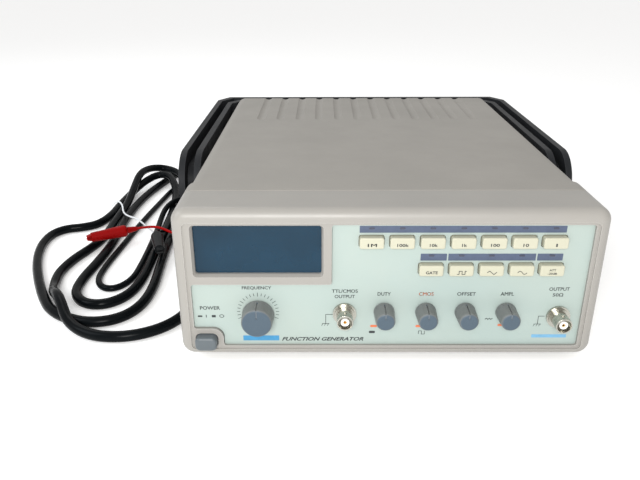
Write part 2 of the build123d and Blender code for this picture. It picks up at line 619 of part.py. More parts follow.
def make_plug():
    """Moulded three-pin plug lying beside the case, pins to the back, cord and relief to the front."""
    body = along_y(Pos(PLUG_X, PLUG_Z) * RectangleRounded(30.0, 22.0, 5.0), PLUG_Y, PLUG_Y + 32)
    body = fillet(edges_at(body, Axis.Y, PLUG_Y + 32), 1.2)
    body = fillet(edges_at(body, Axis.Y, PLUG_Y), 3.0)
    relief = loft([Plane.XZ.offset(-(PLUG_Y + 1)) * Pos(PLUG_X, PLUG_Z) * Circle(6.5),
                   Plane.XZ.offset(-(PLUG_Y - 23)) * Pos(PLUG_X, PLUG_Z) * Circle(CORD_RADIUS + 0.9)])
    body += relief
    for dx, dz, wide, tall in ((-6.3, -3, 1.6, 6.2), (6.3, -3, 1.6, 6.2), (0, 5, 6.2, 1.6)):
        x, z = PLUG_X + dx, PLUG_Z + dz
        body += block(x - wide / 2, x + wide / 2, PLUG_Y + 31, PLUG_Y + 50, z - tall / 2, z + tall / 2)
    return body


HANK_HEIGHT = 7.7
HANK_OUTLINE = [
    (-213, 198), (-230, 190), (-241, 168), (-244, 130), (-243, 72), (-262, 49), (-280, 40), (-284, 10),
    (-277, -20), (-262, -57), (-246, -84), (-234, -110), (-218, -125), (-194, -128), (-172, -122),
    (-160, -102), (-159.5, -60), (-162, -30), (-165.5, 0), (-165.5, 38), (-161, 45), (-161, 104), (-170, 134),
    (-180, 168), (-194, 192),
]
CROSSINGS = [                                 # where strands lie over each other: four corners and the top
    ((-190, 150), (-194, 192), (-213, 196), (-232, 160), 16.0),
    ((-238, -92), (-224, -86), (-203, -116), (-217, -121), 15.0),
    ((-188, 78), (-162, 82), (-162, 104), (-184, 112), 13.0),
]


def make_hank():
    """The outer shape of both leads' loops: one strand high, and higher where they cross."""
    body = along_z(fillet(make_face(Polyline(*HANK_OUTLINE, close=True)).vertices(), 3.0), 0, HANK_HEIGHT)
    body = fillet(edges_at(body, Axis.Z, HANK_HEIGHT), 2.0)
    for *corners, top in CROSSINGS:
        plan = fillet(make_face(Polyline(*corners, close=True)).vertices(), 3.0)
        body += fillet(edges_at(along_z(plan, 1.0, top), Axis.Z, top), 2.0)
    return body


# ---- test lead: plug on the rear socket, cable, split, and a red and a black clip ----
LEAD_END = REAR_FACE + 50.0
SPLIT = (-157.5, 52.0, 3.4)                   # rear end of the moulded split
SPLIT_LONG = 18.0
LEAD_ROUTE = [
    (SYNC_X, LEAD_END, SYNC_Z), (-36, 216, 37), (-46, 234, 24), (-66, 240, 10), (-90, 232, LEAD_RADIUS),
    (-114, 219, LEAD_RADIUS), (-138, 208, LEAD_RADIUS), (-160, 195, LEAD_RADIUS), (-178, 177, LEAD_RADIUS),
]
RED_CLIP = (-199.1, 19.1, 13.0)               # where the wire enters the red boot, and its direction
RED_WAY = (-0.86, -0.51)
BLACK_CLIP = (-180.4, 11.1, 13.0)
BLACK_WAY = (0.30, -0.955)
RED_ROUTE = [
    (SPLIT[0] + 2.2, SPLIT[1] - SPLIT_LONG, SPLIT[2]), (-154, 22, 5), (-158, 11, 10), (-167, 9, 13.5),
    (-178, 18, 14.5), (-189, 22.5, 13.5), RED_CLIP,
]
BLACK_ROUTE = [
    (SPLIT[0] - 2.2, SPLIT[1] - SPLIT_LONG, SPLIT[2]), (-160.2, 26.5, 6.2), (-168.5, 21.5, 9.9),
    (-178, 18.3, 10.7),
    BLACK_CLIP,
]


def make_lead_plug():
    """Cable plug pushed over the rear socket."""
    def ring(outer, inner, y0, y1):
        return rod_y(SYNC_X, SYNC_Z, outer, REAR_FACE + y0, REAR_FACE + y1) - \
            rod_y(SYNC_X, SYNC_Z, inner, REAR_FACE + y0 - 1, REAR_FACE + y1 + 1)
    sleeve = ring(7.3, 5.8, 3.6, 14.5)
    inner = ring(3.9, 2.8, BNC_REACH - 4.6, 14.5)
    body = rod_y(SYNC_X, SYNC_Z, 7.0, REAR_FACE + 13.5, REAR_FACE + 26)
    boot = loft([Plane.XZ.offset(-(REAR_FACE + 25)) * Pos(SYNC_X, SYNC_Z) * Circle(5.5),
                 Plane.XZ.offset(-LEAD_END) * Pos(SYNC_X, SYNC_Z) * Circle(LEAD_RADIUS + 0.9)])
    return sleeve + inner + body + boot


def make_split():
    """The moulded joint where the cable parts into two wires."""
    x, y, z = SPLIT
    return along_y(Pos(x, z) * RectangleRounded(9.0, 6.5, 3.0), y - SPLIT_LONG, y)


def make_clip(entry, way):
    """Crocodile clip: a soft boot over nearly all of it, then the jaws' tips, built along +X."""
    boot = loft([Plane.YZ * Circle(5.2), Plane.YZ.offset(30) * Circle(4.0)])
    boot = fillet(edges_at(boot, Axis.X, 0), 3.0)
    tail = loft([Plane.YZ.offset(-8) * Circle(WIRE_RADIUS + 0.8), Plane.YZ.offset(2) * Circle(3.2)])
    clip = boot + tail
    for side in (-1, 1):
        profile = Polyline((29, side * 0.4), (33.4, side * 0.4), (34, side * 1.4), (32, side * 2.2),
                           (29, side * 2.8), close=True)
        clip += extrude(Plane.XZ * make_face(profile), amount=2.2, both=True)
    angle = math.degrees(math.atan2(way[1], way[0]))
    return Pos(*entry) * Rot(0, 0, angle) * Pos(8, 0, 0) * clip


# ---- build and write every node ----
shell = cover_shell()
save(make_bezel(), "front_bezel")
save(make_panel(), "front_panel")
save(make_lens(), "display_lens")
save(make_digits(), "display_digits")
save(make_top_cover(shell), "top_cover")
save(make_bottom_cover(shell), "bottom_cover")
save(make_rear_panel(), "rear_panel")
save(make_feet(), "rubber_feet")
save(make_screws(), "case_screws")
save(make_handle(), "carry_handle")
save(make_pivots(), "handle_pivots")
save(make_knob(DIAL_X, DIAL_Z, DIAL_RADIUS, DIAL_FACE, 20, 5.8), "frequency_knob")
save(make_shaft(DIAL_X, DIAL_Z, DIAL_FACE), "frequency_shaft")
for name, x in KNOBS.items():
    save(make_knob(x, KNOB_Z, KNOB_RADIUS, KNOB_FACE, 14, 5.4), f"{name}_knob")
    save(make_shaft(x, KNOB_Z, KNOB_FACE), f"{name}_shaft")
    save(make_slider(x, KNOB_Z), f"{name}_slider")
save(make_potentiometers(), "potentiometers")
save(make_panel_nuts(), "panel_nuts")
all_names = [name for names in KEY_NAMES for name in names]
for name, (x, z) in zip(all_names, key_places()):
    save(make_key(x, z), f"{name}_key")
save(make_lamps(), "indicator_lamps")
save(make_power_button(), "power_button")
save(at_sockets(bnc_shell), "bnc_sockets")
save(at_sockets(bnc_insulator), "bnc_insulators")
save(at_sockets(bnc_contact), "bnc_contacts")
save(make_main_board(), "main_board")
save(make_front_board(), "front_board")
save(make_transformer(), "transformer")
save(make_inlet(), "mains_inlet")
save(make_connector(), "cord_connector")
save(tube(MAINS_ROUTE, CORD_RADIUS, "mains_cord", 10 * CORD_RADIUS), "mains_cord")
save(make_hank(), "cord_hank")
save(tube(TAIL_ROUTE, CORD_RADIUS, "mains_tail", 10 * CORD_RADIUS), "mains_tail")
save(make_plug(), "mains_plug")
save(make_lead_plug(), "lead_plug")
save(tube(LEAD_ROUTE, LEAD_RADIUS, "test_lead", 10 * LEAD_RADIUS), "test_lead")
save(make_split(), "lead_split")
save(tube(RED_ROUTE, WIRE_RADIUS, "red_wire", 6 * WIRE_RADIUS), "red_wire")
save(tube(BLACK_ROUTE, WIRE_RADIUS, "black_wire", 6 * WIRE_RADIUS), "black_wire")
save(make_clip(RED_CLIP, RED_WAY), "red_clip")
save(make_clip(BLACK_CLIP, BLACK_WAY), "black_clip")
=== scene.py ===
import math
import bpy
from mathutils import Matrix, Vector


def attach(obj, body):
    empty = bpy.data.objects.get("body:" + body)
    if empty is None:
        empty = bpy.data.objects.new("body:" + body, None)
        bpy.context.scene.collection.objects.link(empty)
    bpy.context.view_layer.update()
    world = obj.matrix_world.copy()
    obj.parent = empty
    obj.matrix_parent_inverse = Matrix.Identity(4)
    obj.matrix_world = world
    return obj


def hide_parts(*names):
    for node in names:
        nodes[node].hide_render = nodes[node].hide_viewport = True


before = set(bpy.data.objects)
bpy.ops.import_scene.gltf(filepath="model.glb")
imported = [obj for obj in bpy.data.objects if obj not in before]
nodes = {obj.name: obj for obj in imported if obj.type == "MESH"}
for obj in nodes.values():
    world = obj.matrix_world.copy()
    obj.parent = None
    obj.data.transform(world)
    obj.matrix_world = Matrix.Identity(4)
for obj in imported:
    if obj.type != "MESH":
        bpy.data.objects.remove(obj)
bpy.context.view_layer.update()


# ---- the stand: camera, pale table and soft studio lights ----
# A plain white table in even light, with a soft lamp behind the camera, a bluish one high on the left and a
# weak one above the back.
view = bpy.data.cameras.new("camera")
view.sensor_width = 36.0
view.lens = 36.85
camera = bpy.data.objects.new("camera", view)
camera.location = (-0.0378, -0.5033, 0.22871)
camera.rotation_euler = [math.radians(a) for a in (66.546, 0.148, 0.254)]
bpy.context.collection.objects.link(camera)
bpy.context.scene.camera = camera
bpy.context.scene.view_settings.view_transform = "Standard"

room = bpy.data.worlds.new("room")
room.use_nodes = True
even_light = room.node_tree.nodes["Background"].inputs
even_light["Color"].default_value = (1.0, 0.995, 0.985, 1.0)
even_light["Strength"].default_value = 0.76
bpy.context.scene.world = room


def lamp(name, place, aim, size, power, colour=(1.0, 1.0, 1.0)):
    """A square soft lamp at a place, turned to face the aim."""
    light = bpy.data.lights.new(name, "AREA")
    light.size = size
    light.energy = power
    light.color = colour
    stand = bpy.data.objects.new(name, light)
    stand.location = place
    stand.rotation_euler = (Vector(aim) - Vector(place)).to_track_quat("-Z", "Y").to_euler()
    bpy.context.collection.objects.link(stand)


lamp("front_lamp", (-0.10, -0.80, 0.36), (0.0, -0.16, 0.05), 0.24, 5.0, (1.0, 0.99, 0.97))
lamp("window_lamp", (-0.95, -0.35, 0.75), (-0.15, 0.0, 0.02), 0.60, 4.0, (0.86, 0.94, 1.0))
lamp("ceiling_lamp", (-0.50, 0.60, 0.90), (0.0, 0.0, 0.05), 0.50, 1.5)

TABLE_REACH = 7.0                             # from the middle to each edge, in metres
table = bpy.data.meshes.new("table_top")
table_corners = [(x * TABLE_REACH, y * TABLE_REACH, 0) for x, y in ((-1, -1), (1, -1), (1, 1), (-1, 1))]
table.from_pydata(table_corners, [], [(0, 1, 2, 3)])
table_top = bpy.data.objects.new("table_top", table)
bpy.context.collection.objects.link(table_top)
white = bpy.data.materials.new("white_laminate")
white.use_nodes = True
laminate = {"Base Color": (0.93, 0.93, 0.93, 1.0), "Roughness": 0.85, "Specular IOR Level": 0.1,
            "Emission Color": (1.0, 1.0, 1.0, 1.0), "Emission Strength": 0.20}
for socket, value in laminate.items():
    white.node_tree.nodes["Principled BSDF"].inputs[socket].default_value = value
table.materials.append(white)


# ---- case: front bezel, top cover and bottom cover ----
# Three injection mouldings in warm grey ABS. The tool was spark-eroded, so the skin has a fine even grain,
# and the edges are painted lighter than the rest: a painted highlight, with some rubbing.
def new_group(name, inputs, outputs):
    """An empty shader group with named sockets, and its input and output nodes."""
    group = bpy.data.node_groups.new(name, "ShaderNodeTree")
    for socket, kind, value in inputs:
        made = group.interface.new_socket(socket, in_out="INPUT", socket_type=kind)
        made.default_value = value
    for socket, kind in outputs:
        group.interface.new_socket(socket, in_out="OUTPUT", socket_type=kind)
    return group, group.nodes.new("NodeGroupInput"), group.nodes.new("NodeGroupOutput")


skin_grain, given, result = new_group(
    "skin_grain", [("Fineness", "NodeSocketFloat", 1500.0), ("Depth", "NodeSocketFloat", 0.00004)],
    [("Normal", "NodeSocketVector")])
coords = skin_grain.nodes.new("ShaderNodeTexCoord")
pits = skin_grain.nodes.new("ShaderNodeTexNoise")
pits.inputs["Detail"].default_value = 2.0
press = skin_grain.nodes.new("ShaderNodeBump")
skin_grain.links.new(coords.outputs["Object"], pits.inputs["Vector"])
skin_grain.links.new(given.outputs["Fineness"], pits.inputs["Scale"])
skin_grain.links.new(pits.outputs["Fac"], press.inputs["Height"])
skin_grain.links.new(given.outputs["Depth"], press.inputs["Distance"])
skin_grain.links.new(press.outputs["Normal"], result.inputs["Normal"])

# Mask for the edges, where a lighter tone is painted: a painted highlight on rounded edges, with some
# rubbing.
edge_sheen_and_wear, given, result = new_group(
    "edge_sheen_and_wear", [("Width", "NodeSocketFloat", 0.0008)], [("Mask", "NodeSocketFloat")])
rounded = edge_sheen_and_wear.nodes.new("ShaderNodeBevel")
rounded.samples = 4
surface = edge_sheen_and_wear.nodes.new("ShaderNodeNewGeometry")
meet = edge_sheen_and_wear.nodes.new("ShaderNodeVectorMath")
meet.operation = "DOT_PRODUCT"
spread = edge_sheen_and_wear.nodes.new("ShaderNodeMapRange")
spread.inputs["From Min"].default_value = 0.97
spread.inputs["From Max"].default_value = 0.75
edge_sheen_and_wear.links.new(given.outputs["Width"], rounded.inputs["Radius"])
edge_sheen_and_wear.links.new(rounded.outputs["Normal"], meet.inputs[0])
edge_sheen_and_wear.links.new(surface.outputs["Normal"], meet.inputs[1])
edge_sheen_and_wear.links.new(meet.outputs["Value"], spread.inputs["Value"])
edge_sheen_and_wear.links.new(spread.outputs["Result"], result.inputs["Mask"])

handling, given, result = new_group(
    "handling", [("Patch size", "NodeSocketFloat", 14.0), ("Sharpness", "NodeSocketFloat", 0.5)],
    [("Mask", "NodeSocketFloat")])
coords = handling.nodes.new("ShaderNodeTexCoord")
cloud = handling.nodes.new("ShaderNodeTexNoise")
cloud.inputs["Detail"].default_value = 4.0
handling.links.new(coords.outputs["Object"], cloud.inputs["Vector"])
handling.links.new(given.outputs["Patch size"], cloud.inputs["Scale"])
handling.links.new(given.outputs["Sharpness"], cloud.inputs["Roughness"])
handling.links.new(cloud.outputs["Fac"], result.inputs["Mask"])


def place_group(tree, group, **values):
    """A group node in a material, with its own values."""
    node = tree.nodes.new("ShaderNodeGroup")
    node.node_tree = group
    for socket, value in values.items():
        node.inputs[socket.replace("_", " ")].default_value = value
    return node


def mixed(tree, mask, low, high):
    """A colour that goes from low to high as the mask goes from 0 to 1."""
    mix = tree.nodes.new("ShaderNodeMix")
    mix.data_type = "RGBA"
    tree.links.new(mask, mix.inputs["Factor"])
    for socket, value in (("A", low), ("B", high)):
        target = [s for s in mix.inputs if s.name == socket and s.type == "RGBA"][0]
        if isinstance(value, tuple):
            target.default_value = (*value, 1.0)
        else:
            tree.links.new(value, target)
    return [s for s in mix.outputs if s.type == "RGBA"][0]


def ranged(tree, mask, low, high, start=0.3, end=0.7):
    """A number that goes from low to high as the mask goes from start to end."""
    step = tree.nodes.new("ShaderNodeMapRange")
    for socket, value in (("From Min", start), ("From Max", end), ("To Min", low), ("To Max", high)):
        step.inputs[socket].default_value = value
    tree.links.new(mask, step.inputs["Value"])
    return step.outputs["Result"]


def clouded(tree, cloud, colour, shade):
    """A colour that drifts towards its shade with the handling marks."""
    return mixed(tree, ranged(tree, cloud.outputs["Mask"], 0.0, 1.0), colour, shade)


def new_material(name):
    """A new material, its tree and its shader."""
    material = bpy.data.materials.new(name)
    material.use_nodes = True
    return material, material.node_tree, material.node_tree.nodes["Principled BSDF"]


def moulding(name, colour, shade, edge_sheen_and_wear_colour, rough, fineness=1500.0, depth=0.00004, sheen_and_wear_width=0.0007, **sockets):
    """Moulded plastic: grained skin, cloudy handling marks, and edges painted lighter, a painted highlight
    with some rubbing.
    """
    material, tree, shader = new_material(name)
    cloud = place_group(tree, handling, Patch_size=16.0, Sharpness=0.6)
    grain = place_group(tree, skin_grain, Fineness=fineness, Depth=depth)
    sheen_and_wear_mask = place_group(tree, edge_sheen_and_wear, Width=sheen_and_wear_width)
    tone = clouded(tree, cloud, colour, shade)
    # The edges are painted lighter: a painted highlight, with some rubbing.
    tree.links.new(mixed(tree, sheen_and_wear_mask.outputs["Mask"], tone, edge_sheen_and_wear_colour), shader.inputs["Base Color"])
    matt = ranged(tree, cloud.outputs["Mask"], rough - 0.06, rough + 0.06)
    tree.links.new(matt, shader.inputs["Roughness"])
    tree.links.new(grain.outputs["Normal"], shader.inputs["Normal"])
    for socket, value in sockets.items():
        shader.inputs[socket.replace("_", " ")].default_value = value
    return material


def finish_node(names, material):
    """Gives CAD pieces their material."""
    for name in names.split():
        nodes[name].material_slots[0].material = material


case_grey = moulding("case_grey_abs", (0.262, 0.246, 0.222), (0.247, 0.234, 0.213), (0.36, 0.345, 0.315),
                     0.52, fineness=1300.0, depth=0.00006)
finish_node("top_cover bottom_cover", case_grey)
bezel_grey = moulding("bezel_grey_abs", (0.278, 0.264, 0.242), (0.263, 0.252, 0.234), (0.44, 0.425, 0.40),
                      0.40, fineness=1700.0, depth=0.00003)
finish_node("front_bezel", bezel_grey)


# ---- feet, screws and rear panel ----
# Four black rubber feet stand under the case, zinc-plated cross-head screws hold the covers and the back,
# and the back is a painted steel sheet with cooling slits.
foot_rubber = moulding("foot_rubber", (0.028, 0.028, 0.030), (0.040, 0.040, 0.041), (0.065, 0.065, 0.065),
                       0.82, fineness=900.0, depth=0.00008)
finish_node("rubber_feet", foot_rubber)


def plated(name, colour, rough, brushing=(400.0, 400.0, 400.0), depth=0.00001, tarnish=0.7):
    """Plated or bare metal with fine scratches and a cloudy tarnish."""
    material, tree, shader = new_material(name)
    shader.inputs["Metallic"].default_value = 1.0
    coords = tree.nodes.new("ShaderNodeTexCoord")
    stretch = tree.nodes.new("ShaderNodeMapping")
    stretch.inputs["Scale"].default_value = brushing
    scratches = tree.nodes.new("ShaderNodeTexNoise")
    scratches.inputs["Scale"].default_value = 3.0
    scratches.inputs["Detail"].default_value = 3.0
    press = tree.nodes.new("ShaderNodeBump")
    press.inputs["Distance"].default_value = depth
    cloud = place_group(tree, handling, Patch_size=90.0, Sharpness=0.6)
    dull = tuple(tarnish * c for c in colour)
    tree.links.new(coords.outputs["Object"], stretch.inputs["Vector"])
    tree.links.new(stretch.outputs["Vector"], scratches.inputs["Vector"])
    tree.links.new(scratches.outputs["Fac"], press.inputs["Height"])
    tree.links.new(press.outputs["Normal"], shader.inputs["Normal"])
    tree.links.new(clouded(tree, cloud, colour, dull), shader.inputs["Base Color"])
    matt = ranged(tree, scratches.outputs["Fac"], rough - 0.08, rough + 0.10)
    tree.links.new(matt, shader.inputs["Roughness"])
    return material


zinc = plated("zinc_plate", (0.66, 0.65, 0.60), 0.34)
finish_node("case_screws", zinc)
back_paint = moulding("back_panel_paint", (0.33, 0.32, 0.30), (0.30, 0.29, 0.275), (0.45, 0.44, 0.42), 0.48,
                      fineness=700.0, depth=0.00005)
finish_node("rear_panel", back_paint)


# ---- carry handle and its pivots ----
# A glass-filled nylon moulding, nearly black, with an open channel along its upper edge. It turns on two
# moulded studs, each closed by a round cap.
handle_nylon = moulding("handle_nylon", (0.013, 0.014, 0.016), (0.018, 0.019, 0.021), (0.045, 0.048, 0.052),
                        0.50, fineness=1100.0, depth=0.00005, Specular_IOR_Level=0.14)
finish_node("carry_handle handle_pivots", handle_nylon)


# ---- front panel and its printing ----
# A flat moulded panel in pale mint, silk-screened in slate blue, black and orange. The words and signs are
# thin films of ink that lie on the panel's face.
mint_panel = moulding("mint_panel", (0.330, 0.385, 0.355), (0.310, 0.378, 0.358), (0.40, 0.45, 0.42), 0.42,
                      fineness=2200.0, depth=0.00002)
finish_node("front_panel", mint_panel)
MM = 0.001
PANEL = -162.05                               # the ink's plane, just proud of the panel
depsgraph = bpy.context.evaluated_depsgraph_get()


def words(text, x, z, width, height, y=PANEL, slant=0.0, weight=0.018):
    """Printed words, centred on x and z. An M fills in when it is thickened, so it is doubled instead."""
    letters = bpy.data.curves.new("letters", "FONT")
    letters.body = text
    letters.shear = slant
    letters.offset = 0.0 if "M" in text else weight
    letters.resolution_u = 3
    source = bpy.data.objects.new("letters", letters)
    bpy.context.collection.objects.link(source)
    bpy.context.view_layer.update()
    flat = bpy.data.meshes.new_from_object(source.evaluated_get(depsgraph))
    bpy.data.objects.remove(source)
    across = [v.co.x for v in flat.vertices]
    up = [v.co.y for v in flat.vertices]
    grow_x = width / (max(across) - min(across))
    grow_z = height / (max(up) - min(up))
    mid_x, mid_z = (max(across) + min(across)) / 2, (max(up) + min(up)) / 2
    corners, faces = [], []
    for shift in (-weight, weight) if "M" in text else (0.0,):
        faces += [tuple(len(corners) + k for k in p.vertices) for p in flat.polygons]
        corners += [(x + (v.co.x - mid_x + shift) * grow_x, y, z + (v.co.y - mid_z) * grow_z)
                    for v in flat.vertices]
    bpy.data.meshes.remove(flat)
    return corners, faces


def patch(left, right, low, high, y=PANEL, corner=0.3):
    """A printed bar with rounded corners."""
    corners = []
    for cx, cz, start in ((right - corner, high - corner, 0), (left + corner, high - corner, 90),
                          (left + corner, low + corner, 180), (right - corner, low + corner, 270)):
        for step in range(5):
            a = math.radians(start + 22.5 * step)
            corners.append((cx + corner * math.cos(a), y, cz + corner * math.sin(a)))
    return corners, [tuple(range(len(corners)))]


def stroke(points, width, y=PANEL):
    """A printed line of even width through points in x and z."""
    line = [Vector(p) for p in points]
    corners, faces = [], []
    for i, here in enumerate(line):
        before = (here - line[i - 1]).normalized() if i else (line[1] - here).normalized()
        after = (line[i + 1] - here).normalized() if i < len(line) - 1 else before
        along = (before + after).normalized()
        side = Vector((-along.y, along.x)) * width / 2 / max(0.4, along.dot(before))
        corners += [(here.x + side.x, y, here.y + side.y), (here.x - side.x, y, here.y - side.y)]
    for i in range(len(line) - 1):
        faces.append((2 * i, 2 * i + 1, 2 * i + 3, 2 * i + 2))
    return corners, faces


def printed(name, shapes, ink, body="root"):
    """One film of ink made of several shapes."""
    corners, faces = [], []
    for shape, joined in shapes:
        faces += [tuple(len(corners) + i for i in face) for face in joined]
        corners += [(px * MM, py * MM, pz * MM) for px, py, pz in shape]
    film = bpy.data.meshes.new(name)
    film.from_pydata(corners, [], faces)
    film.materials.append(ink)
    piece = bpy.data.objects.new(name, film)
    bpy.context.collection.objects.link(piece)
    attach(piece, body)
    return piece


def screen_ink(name, colour, rough=0.5):
    """Silk-screen ink: a slightly uneven film with the mesh's faint texture."""
    material, tree, shader = new_material(name)
    cloud = place_group(tree, handling, Patch_size=300.0, Sharpness=0.7)
    grain = place_group(tree, skin_grain, Fineness=4000.0, Depth=0.00001)
    thin = tuple(min(1.0, 1.18 * c + 0.004) for c in colour)
    tree.links.new(clouded(tree, cloud, colour, thin), shader.inputs["Base Color"])
    matt = ranged(tree, cloud.outputs["Mask"], rough - 0.05, rough + 0.05)
    tree.links.new(matt, shader.inputs["Roughness"])
    tree.links.new(grain.outputs["Normal"], shader.inputs["Normal"])
    return material


black_ink = screen_ink("black_ink", (0.016, 0.020, 0.022))
slate_ink = screen_ink("slate_ink", (0.050, 0.069, 0.120))
orange_ink = screen_ink("orange_ink", (0.50, 0.12, 0.045))
blue_ink = screen_ink("blue_ink", (0.030, 0.19, 0.36))
pale_blue_ink = screen_ink("pale_blue_ink", (0.12, 0.29, 0.45))

# Signs: earth marks beside both sockets, the in and out marks over the power button, pulses by the knobs.
def earth_sign(x, z, reach_x, top_z):
    """An earth mark under a line that runs up and across to a socket."""
    hatching = [stroke([(x + dx, z), (x + dx - 0.8, z - 1.5)], 0.3) for dx in (-1.7, 0.0, 1.7)]
    drop = stroke([(reach_x, top_z), (x, top_z), (x, z)], 0.35)
    return [drop, stroke([(x - 2.2, z), (x + 2.2, z)], 0.35), *hatching]


ring = [(-98.6 + 1.3 * math.cos(a), 31.1 + 0.9 * math.sin(a))
        for a in [step * math.pi / 8 for step in range(4, 21)]]
signs = [
    words("POWER", -105.3, 36.6, 12.0, 2.4), words("FREQUENCY", -77.0, 49.9, 17.4, 2.4),
    words("TTL/CMOS", -25.2, 47.9, 15.2, 2.2), words("OUTPUT", -25.2, 44.3, 12.0, 2.2),
    words("DUTY", -2.0, 46.0, 7.8, 2.3), words("OFFSET", 46.4, 46.0, 11.0, 2.3),
    words("AMPL", 70.4, 46.0, 7.8, 2.3),
    words("OUTPUT", 100.6, 49.2, 12.0, 2.3), words("50Ω", 100.2, 45.4, 6.2, 2.3),
    words("FUNCTION GENERATOR", -38.2, 15.2, 49.6, 2.6, slant=0.35, weight=0.03),
    patch(-113.0, -110.2, 30.4, 31.5, corner=0.4), stroke([(-107.9, 30.1), (-107.9, 32.0)], 0.45),
    patch(-104.6, -102.2, 30.2, 31.8, corner=0.3), stroke(ring, 0.4),
    *earth_sign(-36.4, 25.9, -32.2, 32.2), *earth_sign(90.6, 25.6, 94.2, 31.0),
    stroke([(58.8, 28.8), (59.7, 29.6), (60.6, 28.8), (61.5, 29.6), (62.4, 28.8), (63.3, 29.6)], 0.45),
    stroke([(19.6, 18.6), (19.6, 20.8), (21.4, 20.8), (21.4, 18.6), (23.2, 18.6), (23.2, 20.8)], 0.35),
    patch(-10.3, -6.7, 19.2, 20.9, corner=0.6),
]
printed("black_print", signs, black_ink)
printed("slate_strips", [
    patch(-17.3, 99.5, 85.1, 89.3), patch(18.0, 33.1, 67.7, 72.1),
    patch(33.9, 84.1, 67.7, 72.1, corner=0.1),
    patch(84.9, 99.6, 67.7, 72.1)], slate_ink)
printed("orange_print", [
    words("CMOS", 22.8, 46.0, 8.6, 2.3), patch(-9.6, -5.6, 23.4, 25.0, corner=0.6),
    patch(17.6, 20.8, 23.4, 25.0, corner=0.6), patch(66.8, 70.0, 24.2, 25.7, corner=0.6)], orange_ink)
printed("blue_bar", [patch(-86.4, -64.6, 14.1, 17.6, corner=0.2)], blue_ink)
printed("pale_blue_bar", [patch(88.0, 109.0, 16.2, 18.4, corner=0.2)], pale_blue_ink)


# ---- scale round the frequency dial ----
# Twenty-one short ticks printed on the panel, evenly spaced over the dial's turn, every fifth one longer.
def new_geometry(name, inputs):
    """An empty geometry tree with named inputs, its input and output nodes, and the inputs' identifiers."""
    tree = bpy.data.node_groups.new(name, "GeometryNodeTree")
    keys = {}
    for socket, kind, value in inputs:
        made = tree.interface.new_socket(socket, in_out="INPUT", socket_type=kind)
        made.default_value = value
        keys[socket] = made.identifier
    tree.interface.new_socket("Geometry", in_out="OUTPUT", socket_type="NodeSocketGeometry")
    return tree, tree.nodes.new("NodeGroupInput"), tree.nodes.new("NodeGroupOutput"), keys


def grown(name, tree, keys, material, body="root", **values):
    """The plain mesh that a geometry tree gives with these values, riding on a body."""
    empty = bpy.data.meshes.new(name + "_seed")
    piece = bpy.data.objects.new(name, empty)
    modifier = piece.modifiers.new("repeat", "NODES")
    modifier.node_group = tree
    for socket, value in values.items():
        modifier[keys[socket.replace("_", " ")]] = value
    bpy.context.collection.objects.link(piece)
    bpy.context.view_layer.update()
    solid = bpy.data.meshes.new_from_object(piece.evaluated_get(bpy.context.evaluated_depsgraph_get()))
    solid.name = name
    piece.modifiers.clear()
    piece.data = solid
    solid.materials.clear()
    solid.materials.append(material)
    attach(piece, body)
    return piece


ticks, given, result, tick_keys = new_geometry("scale_ticks", [
    ("Count", "NodeSocketInt", 21), ("Radius", "NodeSocketFloat", 0.0125),
    ("Length", "NodeSocketFloat", 0.0018), ("Width", "NodeSocketFloat", 0.0003),
    ("Sweep", "NodeSocketFloat", 4.2), ("Centre", "NodeSocketVector", (0, 0, 0))])
spots = ticks.nodes.new("GeometryNodeMeshLine")
mark = ticks.nodes.new("GeometryNodeMeshGrid")
mark.inputs["Vertices X"].default_value = 2
mark.inputs["Vertices Y"].default_value = 2
number = ticks.nodes.new("GeometryNodeInputIndex")


def sum_of(tree, operation, first, second, third=None):
    """One arithmetic step between sockets or numbers."""
    node = tree.nodes.new("ShaderNodeMath")
    node.operation = operation
    for slot, value in enumerate((first, second, third)):
        if value is None:
            continue
        if isinstance(value, (int, float)):
            node.inputs[slot].default_value = value
        else:
            tree.links.new(value, node.inputs[slot])
    return node.outputs[0]


share = sum_of(ticks, "DIVIDE", number.outputs[0], sum_of(ticks, "SUBTRACT", given.outputs["Count"], 1.0))
turn = sum_of(ticks, "MULTIPLY", sum_of(ticks, "SUBTRACT", share, 0.5), given.outputs["Sweep"])
place = ticks.nodes.new("ShaderNodeCombineXYZ")
for wave, axis in (("SINE", "X"), ("COSINE", "Z")):
    out = sum_of(ticks, "MULTIPLY", sum_of(ticks, wave, turn, 0.0), given.outputs["Radius"])
    ticks.links.new(out, place.inputs[axis])
shift = ticks.nodes.new("ShaderNodeVectorMath")
shift.operation = "ADD"
ticks.links.new(place.outputs["Vector"], shift.inputs[0])
ticks.links.new(given.outputs["Centre"], shift.inputs[1])
laid = ticks.nodes.new("GeometryNodeSetPosition")
ticks.links.new(given.outputs["Count"], spots.inputs["Count"])
ticks.links.new(spots.outputs["Mesh"], laid.inputs["Geometry"])
ticks.links.new(shift.outputs["Vector"], laid.inputs["Position"])
ticks.links.new(given.outputs["Width"], mark.inputs["Size X"])
ticks.links.new(given.outputs["Length"], mark.inputs["Size Y"])
stand_up = ticks.nodes.new("GeometryNodeTransform")
stand_up.inputs["Rotation"].default_value = (math.pi / 2, 0.0, 0.0)
ticks.links.new(mark.outputs["Mesh"], stand_up.inputs["Geometry"])
copies = ticks.nodes.new("GeometryNodeInstanceOnPoints")
lean = ticks.nodes.new("ShaderNodeCombineXYZ")
ticks.links.new(turn, lean.inputs["Y"])
to_turn = ticks.nodes.new("FunctionNodeEulerToRotation")
ticks.links.new(lean.outputs["Vector"], to_turn.inputs[0])
fifth = sum_of(ticks, "COMPARE", sum_of(ticks, "MODULO", number.outputs[0], 5.0), 0.0, 0.1)
longer = ticks.nodes.new("ShaderNodeCombineXYZ")
longer.inputs["X"].default_value = 1.0
longer.inputs["Y"].default_value = 1.0
